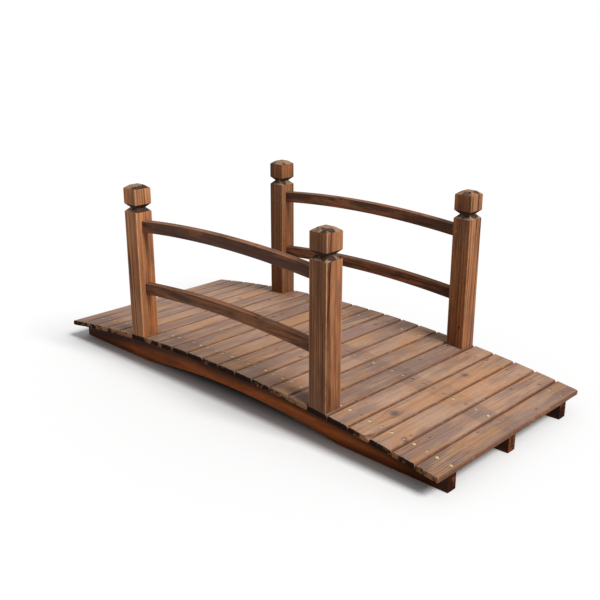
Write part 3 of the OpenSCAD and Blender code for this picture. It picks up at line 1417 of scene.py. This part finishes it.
@dataclass
class Screws(SubAssembly):
    """Countersunk cross-head screws, one joined mesh for each group of them."""

    head_r: float = 0.0045
    head_t: float = 0.0022
    cross_len: float = 0.0040
    cross_w: float = 0.0008
    cross_depth: float = 0.0012
    sides: int = 20
    foot_share: float = 0.62
    rim_share: float = 0.14
    dome: float = 0.00025
    tilt: float = 0.06
    sink: tuple[float, float] = (0.0007, 0.0015)
    shade_range: float = 0.08

    def blank(self) -> Thing:
        """One screw head, face up, with the top of its rim at the origin's height."""
        head = Bench.drum("screw", self.head_r, self.head_t, (0, 0, -self.head_t / 2),
                          self.sides, foot=self.head_r * self.foot_share)
        Bench.work(head, "FACE", lambda f: f.normal.z > 0.99,
                   partial(bpy.ops.mesh.inset, thickness=self.head_r * self.rim_share),
                   partial(bpy.ops.transform.translate, value=(0, 0, self.dome)))
        for turn in (0, math.pi / 2):
            blade = Bench.block("blade", (self.cross_len, self.cross_w, self.cross_depth * 2),
                                (0, 0, 0.0002))
            Bench.place(blade, Matrix.Rotation(turn, 4, "Z"))
            Bench.carve(head, blade)
        note(head, "deep", lambda p: float(
            p.z < -0.0004 and math.hypot(p.x, p.y) < self.head_r * 0.6))
        return head

    def group(self, name: str, places: list[Matrix], seed: int,
              platings: tuple[Plating, ...]) -> None:
        """Copies a screw to each place, each with its own turn, plating and mesh.

        Args:
            name: The name of the joined screws.
            places: Where each screw's head lies, with the head's face along its Z.
            seed: Where the random numbers start.
            platings: The platings to choose from.
        """
        blank = self.blank()
        rng = random.Random(seed)
        copies = []
        for place in places:
            screw = Bench.twin(blank, name)
            shade = rng.choice(platings).value + rng.uniform(-self.shade_range, self.shade_range)
            note(screw, "shade", lambda p: shade)
            tilt = Matrix.Rotation(rng.uniform(-self.tilt, self.tilt), 4, "X") @ (
                Matrix.Rotation(rng.uniform(-self.tilt, self.tilt), 4, "Y"))
            turn = Matrix.Rotation(rng.uniform(0, math.pi), 4, "Z")
            sink = Matrix.Translation((0, 0, -rng.uniform(*self.sink)))
            Bench.place(screw, place @ sink @ tilt @ turn)
            copies.append(screw)
        Bench.scrap(blank)
        screws = Bench.join(name, copies)
        self.dress(screws, (self.finishes.screw,))
        Bench.smooth(screws, 30)
        self.report(screws, "screws")


@dataclass
class Bridge(SubAssembly):
    """The whole bridge, built from the ground up.

    Each seed draws the platings and the turns of one group of screws.
    """

    right_seed: int = 7571
    centre_seed: int = 18023
    left_seed: int = 1378
    toe_seed: int = 450

    def build(self) -> None:
        """Builds every sub-assembly, and then the screws that hold them."""
        deck, posts, screws = Deck(self.finishes), Posts(self.finishes), Screws(self.finishes)
        for part in (Beams(self.finishes), deck, posts, Rails(self.finishes)):
            part.build()
        yellow, pale, coppery, aged = ((plating,) for plating in Plating)
        rows = (("right", self.right_seed, yellow * 4 + pale * 2 + coppery),
                ("centre", self.centre_seed, yellow + pale * 2 + coppery * 2),
                ("left", self.left_seed, yellow + pale * 2 + coppery * 3))
        for row, (where, seed, platings) in enumerate(rows):
            screws.group(f"deck_screws_{where}", [
                deck.matrix(number) @ Matrix.Translation((x, y, self.sizes.plank_t))
                for number in range(1, self.sizes.plank_count + 1)
                for x, y in deck.screw_spots(number)[2 * row:2 * row + 2]], seed, platings)
        screws.group("toe_screws", [place for side in Side for end in End
                                    for place in posts.toe_screws(side, end)],
                     self.toe_seed, aged)


@dataclass
class Studio:
    """The floor, the white surroundings, the sun and the camera."""

    azimuth: float = 44.0
    elevation: float = 18.5
    focal_px: float = 855.0
    frame_px: float = 600.0
    sensor: float = 36.0
    distance: float = 2.62
    target: Point = (0.0, 0.0, 0.235)
    world_light: float = 0.33
    sun_light: float = 2.80
    sun_spread: float = 0.40
    sun_azimuth: float = 88.0
    sun_elevation: float = 50.0
    floor_size: float = 40
    floor_light: float = 0.45
    floor_dark: float = 0.12

    @staticmethod
    def aim(data: bpy.types.ID, azimuth: float, elevation: float) -> tuple[Thing, Vector]:
        """Adds a lamp or a camera that looks back from a direction.

        Args:
            data: The lamp or the lens.
            azimuth: The angle of the direction in degrees. At 0 it is towards -Y.
            elevation: Its angle above the ground.

        Returns:
            The new object, and the direction.
        """
        a, e = math.radians(azimuth), math.radians(elevation)
        way = Vector((math.sin(a) * math.cos(e), -math.cos(a) * math.cos(e), math.sin(e)))
        thing = bpy.data.objects.new(data.name, data)
        bpy.context.scene.collection.objects.link(thing)
        thing.rotation_euler = (-way).to_track_quat("-Z", "Y").to_euler()
        return thing, way

    @staticmethod
    def direct_view(g: Graph) -> Value:
        """1 for what the camera sees, also in a gloss or through glass, and 0 for light."""
        path = g.node("ShaderNodeLightPath").outputs
        return g.most(*(Value(g, path[f"Is {kind} Ray"])
                        for kind in ("Camera", "Glossy", "Transmission")))

    def floor(self) -> None:
        """A floor that takes the shadow and looks white, with painted shade under the deck, so
        that it looks dark through the joints.
        """
        ground = Bench.start("floor", bpy.ops.mesh.primitive_plane_add, size=self.floor_size)
        g = Surface("floor_white")
        along, across, _ = g.apart(g.place())
        clear = g.most(g.smooth(g.math("ABSOLUTE", along), 0.62, 0.76),
                       g.smooth(g.math("ABSOLUTE", across), 0.22, 0.33))
        # Painted shade where the camera sees the floor under the deck
        seen = g.mix(clear, (self.floor_dark,) * 3, (1.0,) * 3)
        colour = g.mix(self.direct_view(g), (self.floor_light,) * 3, seen)
        ground.data.materials.append(
            g.finish(Base_Color=colour, Roughness=0.9, Specular_IOR_Level=0.0))

    def world(self) -> None:
        """A soft even light from all round, which the camera sees as white."""
        world = bpy.data.worlds.new("studio")
        bpy.context.scene.world = world
        world.use_nodes = True
        g = Graph(world.node_tree)
        soft, white = (g.node("ShaderNodeBackground", {"Color": (1, 1, 1), "Strength": light}
                              ).outputs[0] for light in (self.world_light, 1.0))
        mixed = g.node("ShaderNodeMixShader", {0: self.direct_view(g), 1: soft, 2: white})
        g.node("ShaderNodeOutputWorld", {"Surface": mixed.outputs[0]})

    def sun(self) -> None:
        """A broad soft light from above the second end of the bridge."""
        light = bpy.data.lights.new("sun", "SUN")
        light.energy = self.sun_light
        light.angle = self.sun_spread
        self.aim(light, self.sun_azimuth, self.sun_elevation)

    def camera(self) -> None:
        """The camera, at the angle from which the photo shows the post and rails."""
        lens = bpy.data.cameras.new("camera")
        lens.sensor_width = self.sensor
        lens.lens = self.focal_px / self.frame_px * self.sensor
        lens.clip_start = 0.01
        view, back = self.aim(lens, self.azimuth, self.elevation)
        view.location = Vector(self.target) + back * self.distance
        bpy.context.scene.camera = view

    def build(self) -> None:
        """Sets up the whole studio."""
        self.floor()
        self.world()
        self.sun()
        self.camera()
        bpy.context.scene.view_settings.view_transform = "Standard"


def main() -> None:
    """Builds the studio and the bridge."""
    logging.basicConfig(level=logging.INFO, format="%(name)s: %(message)s")
    Studio().build()
    Bridge(Finishes()).build()


if __name__ == "__main__":
    main()
